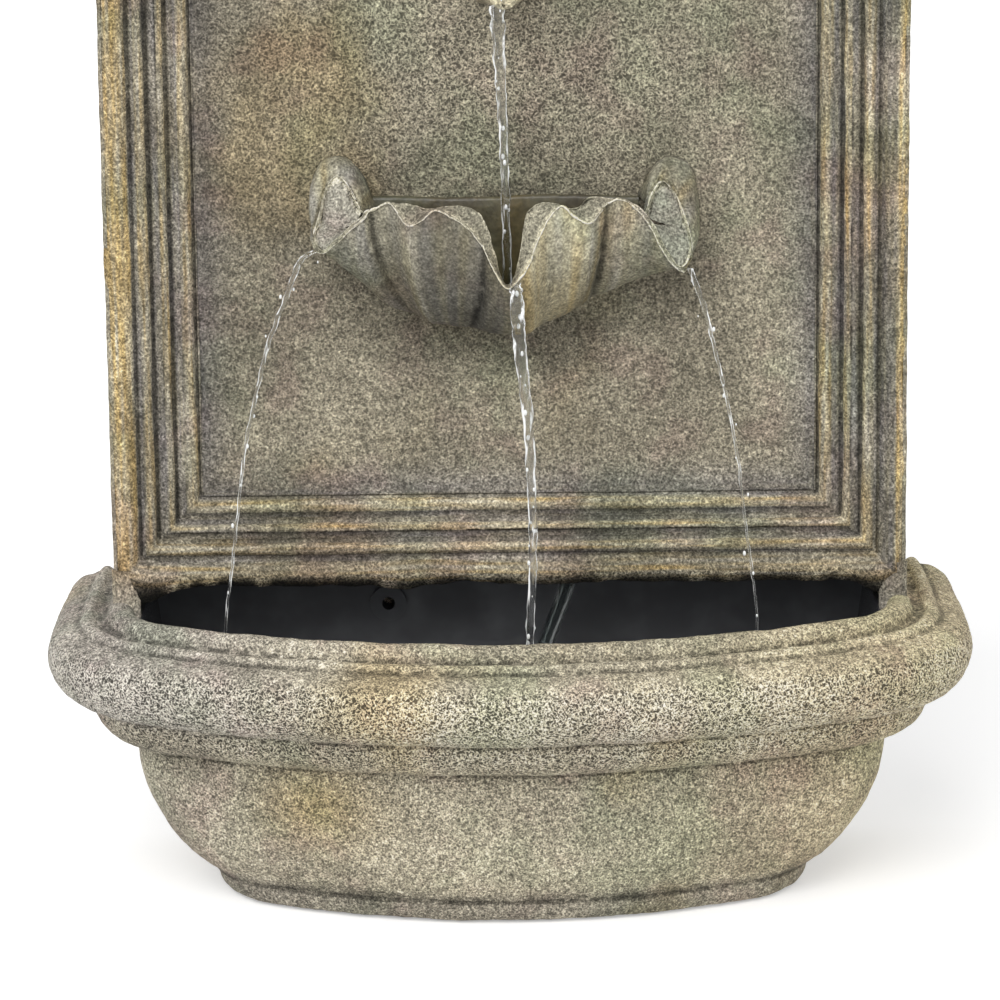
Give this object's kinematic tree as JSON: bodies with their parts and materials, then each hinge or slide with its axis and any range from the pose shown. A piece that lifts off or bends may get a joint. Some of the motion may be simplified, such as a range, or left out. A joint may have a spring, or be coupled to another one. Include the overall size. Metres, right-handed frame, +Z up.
{
  "type": "garden wall fountain",
  "caption": "Resin garden wall fountain: a hollow arched panel with stepped mouldings on a half-oval basin, a leaf bowl and spout, and a small submersible pump.",
  "frame": {"origin": "centre of the footprint, on the ground under the foot", "axes": "+Z up, front faces -Y, wall side faces +Y"},
  "size_m": [0.447, 0.2, 0.787],
  "materials": {
    "stone_resin": "rough weathered limestone",
    "black_liner": "smooth, wet",
    "grey_sheet": "fine grain",
    "zinc_steel": "zinc plated",
    "black_rubber": "matte",
    "black_plastic": "satin",
    "grey_plastic": "satin",
    "white_plastic": "satin",
    "clear_tube": "clear vinyl",
    "core_steel": "laminated, varnished",
    "copper_coil": "enamelled copper wire",
    "white_ceramic": "polished",
    "ferrite": "ground ferrite",
    "black_foam": "open-cell foam"
  },
  "bodies": {
    "fountain": {"basin": "stone_resin", "basin_liner": "black_liner", "wall_panel": "stone_resin", "leaf_bowl": "stone_resin", "rosette": "stone_resin", "spout_leaf": "stone_resin", "rear_cover": "grey_sheet", "cover_screws": "zinc_steel", "access_door": "grey_sheet", "door_screws": "zinc_steel", "hanger_plate": "zinc_steel", "hanger_screws": "zinc_steel", "cable_grommet": "black_rubber", "spout_elbow": "black_plastic", "water_tube": "clear_tube", "tube_clamps": "zinc_steel", "tube_clips": "black_plastic", "pump_housing": "black_plastic", "stator_core": "core_steel", "stator_coils": "copper_coil", "potting_seal": "black_rubber", "pump_cable_gland": "black_rubber", "chamber_seal": "black_rubber", "volute_cover": "black_plastic", "outlet_nozzle": "black_plastic", "impeller_shaft": "white_ceramic", "shaft_bushes": "black_rubber", "suction_cups": "black_rubber"},
    "impeller_rotor": {"rotor_magnet": "ferrite", "impeller": "white_plastic"},
    "strainer": {"strainer_cover": "black_plastic", "intake_foam": "black_foam"},
    "dial": {"flow_dial": "grey_plastic"}
  },
  "joints": [
    {"name": "impeller_spin", "type": "hinge", "parent": "fountain", "child": "impeller_rotor", "pos_m": [0.0025, 0.055, 0.046], "axis": [0, -1, 0], "continuous": true},
    {"name": "strainer_slide", "type": "slide", "parent": "fountain", "child": "strainer", "axis": [0, -1, 0], "range_m": [0, 0.03]},
    {"name": "dial_turn", "type": "hinge", "parent": "strainer", "child": "dial", "pos_m": [0.0025, 0.02, 0.046], "axis": [0, -1, 0], "range_deg": [0, 90]}
  ]
}
